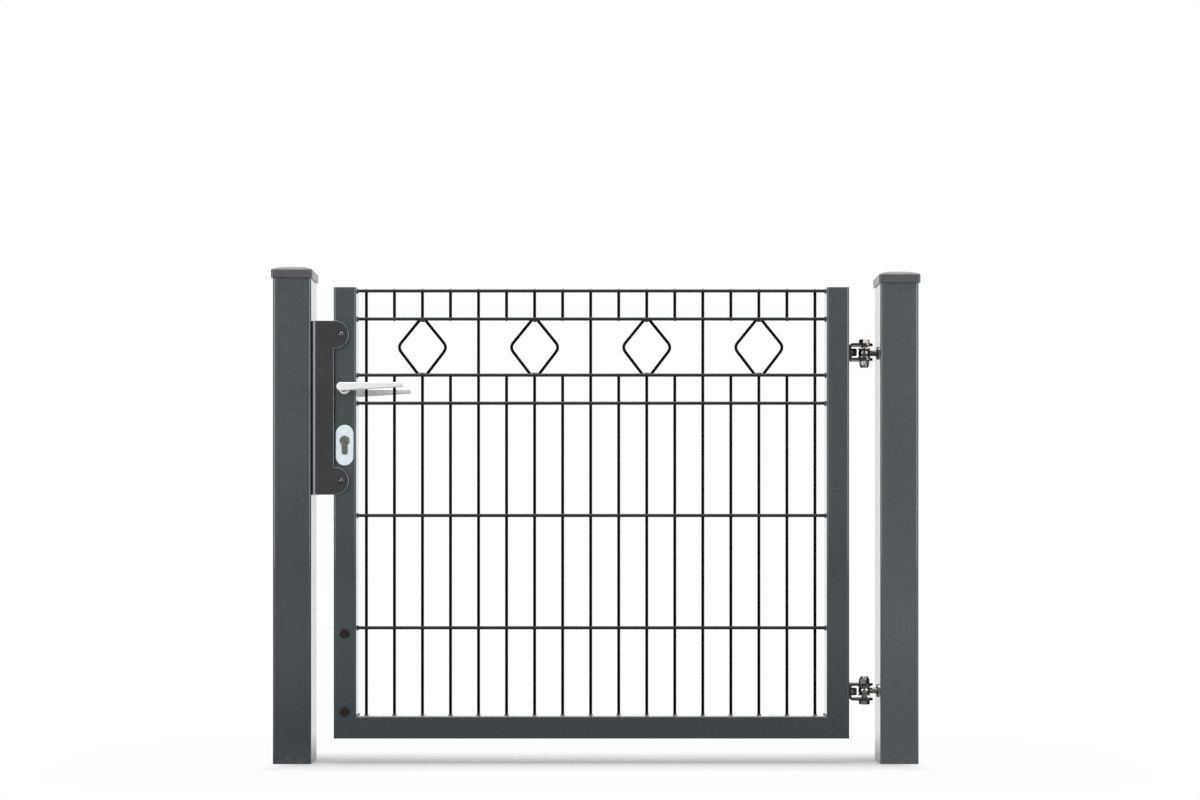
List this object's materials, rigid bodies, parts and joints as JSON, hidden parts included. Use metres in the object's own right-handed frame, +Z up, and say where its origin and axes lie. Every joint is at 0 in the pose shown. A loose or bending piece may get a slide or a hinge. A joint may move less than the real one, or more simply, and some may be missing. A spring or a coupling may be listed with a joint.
{
  "type": "swing fence gate",
  "caption": "Single swing fence gate of square tube and welded wire mesh with bent wire diamonds, hung on eyebolt hinges between two capped posts, with a lever lock.",
  "frame": {"origin": "centre of the hinge post's foot at ground level", "axes": "+Z up, +X along the fence away from the leaf, from the lock post to the hinge post, +Y away from the viewer of the pictured front, the side the leaf opens to"},
  "size_m": [1.1484, 0.144, 0.8834],
  "materials": {
    "powder_coat": "satin",
    "wire_coat": "satin",
    "strike_coat": "satin",
    "cap_plastic": "matte",
    "zinc_plate": "satin",
    "stainless": "brushed",
    "escutcheon_zinc": "satin",
    "cylinder_nickel": "satin",
    "lever_aluminium": "satin",
    "black_plastic": "satin",
    "stud_dark": "satin",
    "buffer_rubber": "matte"
  },
  "bodies": {
    "posts": {"lock_post": "powder_coat", "hinge_post": "powder_coat", "lock_post_cap": "cap_plastic", "hinge_post_cap": "cap_plastic", "strike_plate": "strike_coat", "strike_keep": "strike_coat", "upper_stop_stud": "stud_dark", "lower_stop_stud": "stud_dark", "upper_stop_buffer": "buffer_rubber", "lower_stop_buffer": "buffer_rubber", "upper_strike_screw": "zinc_plate", "lower_strike_screw": "zinc_plate", "upper_eyebolt": "zinc_plate", "lower_eyebolt": "zinc_plate", "upper_eyebolt_washer": "zinc_plate", "lower_eyebolt_washer": "zinc_plate"},
    "gate_leaf": {"lock_stile": "powder_coat", "hinge_stile": "powder_coat", "bottom_rail": "powder_coat", "lock_stile_cap": "powder_coat", "hinge_stile_cap": "powder_coat", "wire_mesh": "wire_coat", "lock_case": "zinc_plate", "lock_forend": "stainless", "latch_bolt": "zinc_plate", "dead_bolt": "zinc_plate", "front_escutcheon": "escutcheon_zinc", "back_escutcheon": "escutcheon_zinc", "lock_cylinder": "cylinder_nickel", "upper_hole_plug": "black_plastic", "lower_hole_plug": "black_plastic", "upper_clevis": "zinc_plate", "upper_clevis_bolt": "zinc_plate", "upper_hinge_pin": "zinc_plate", "upper_pin_nut": "zinc_plate", "upper_pin_washers": "zinc_plate", "lower_clevis": "zinc_plate", "lower_clevis_bolt": "zinc_plate", "lower_hinge_pin": "zinc_plate", "lower_pin_nut": "zinc_plate", "lower_pin_washers": "zinc_plate"},
    "levers": {"front_lever": "lever_aluminium", "back_lever": "lever_aluminium", "lever_spindle": "zinc_plate"}
  },
  "joints": [
    {"name": "gate_swing", "type": "hinge", "parent": "posts", "child": "gate_leaf", "pos_m": [-0.059, -0.008, 0.4285], "axis": [0, 0, -1], "range_deg": [0, 90]},
    {"name": "lever_turn", "type": "hinge", "parent": "gate_leaf", "child": "levers", "pos_m": [-0.982, -0.008, 0.664], "axis": [0, 1, 0], "range_deg": [0, 40], "stiffness_Nm_per_rad": 1, "springref_deg": -17.19}
  ]
}
